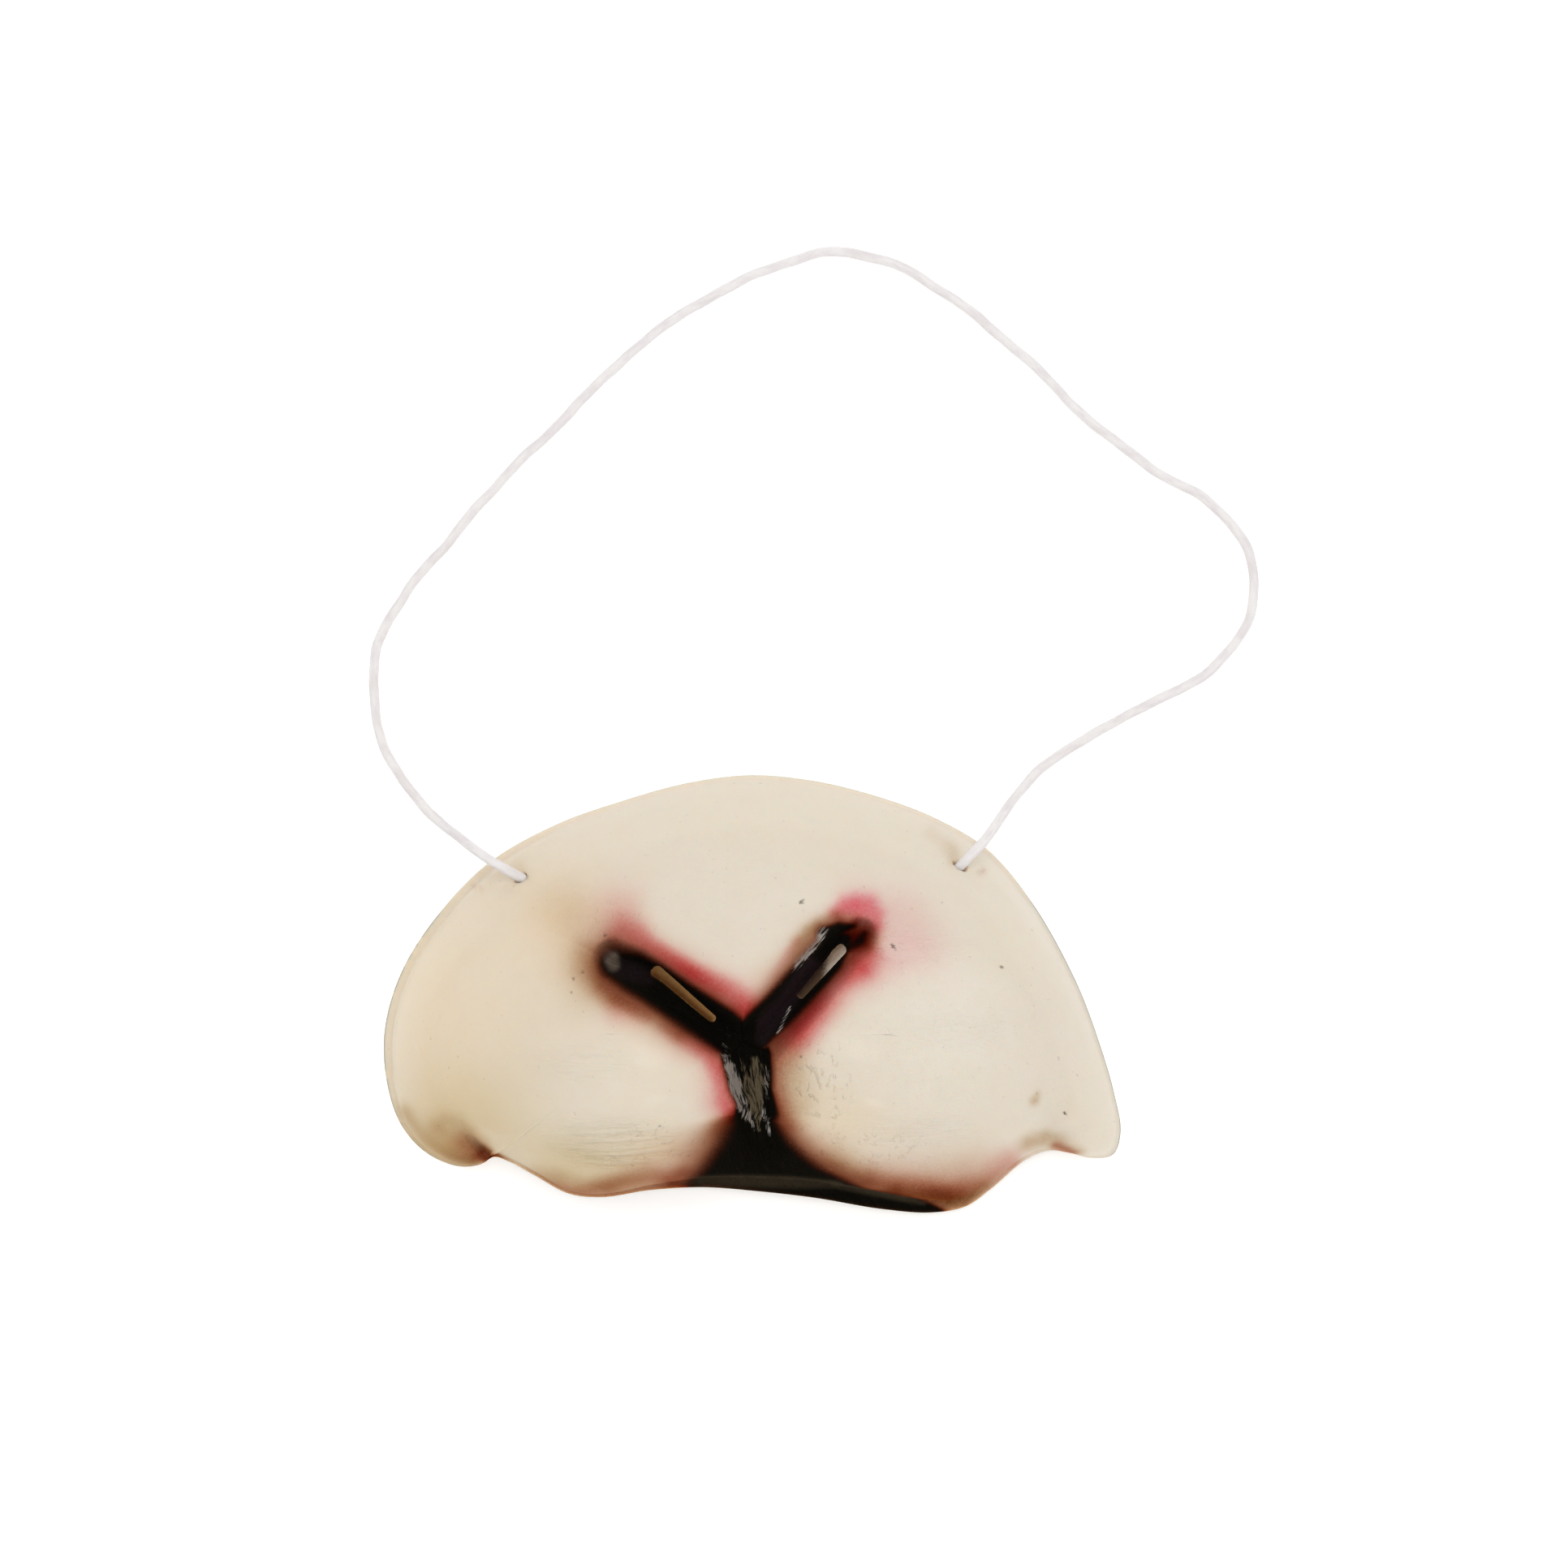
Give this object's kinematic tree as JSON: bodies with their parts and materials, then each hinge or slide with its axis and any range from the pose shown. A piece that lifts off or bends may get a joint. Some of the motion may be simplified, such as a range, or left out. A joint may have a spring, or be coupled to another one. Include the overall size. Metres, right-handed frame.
{
  "type": "costume animal nose with elastic loop",
  "caption": "Hollow soft muzzle-shaped costume nose with two nostril grooves, breathing slits and a thin elastic loop for the back of the head.",
  "frame": {"origin": "middle of the underside of the nose's outline, on the surface that its back rim lies on; the elastic loop isn't counted", "axes": "+X across the muzzle to the right in the picture, +Y from the upper lip to the bridge, +Z out of the open back towards the tip of the nose"},
  "size_m": [0.1343, 0.1454, 0.039],
  "materials": {
    "latex": "matt cream latex with airbrushed pink and gloss black grooves",
    "elastic": "white braided elastic"
  },
  "bodies": {
    "root": {"nose_shell": "latex", "elastic_cord": "elastic", "cord_knot_left": "elastic", "cord_knot_right": "elastic"}
  },
  "joints": []
}
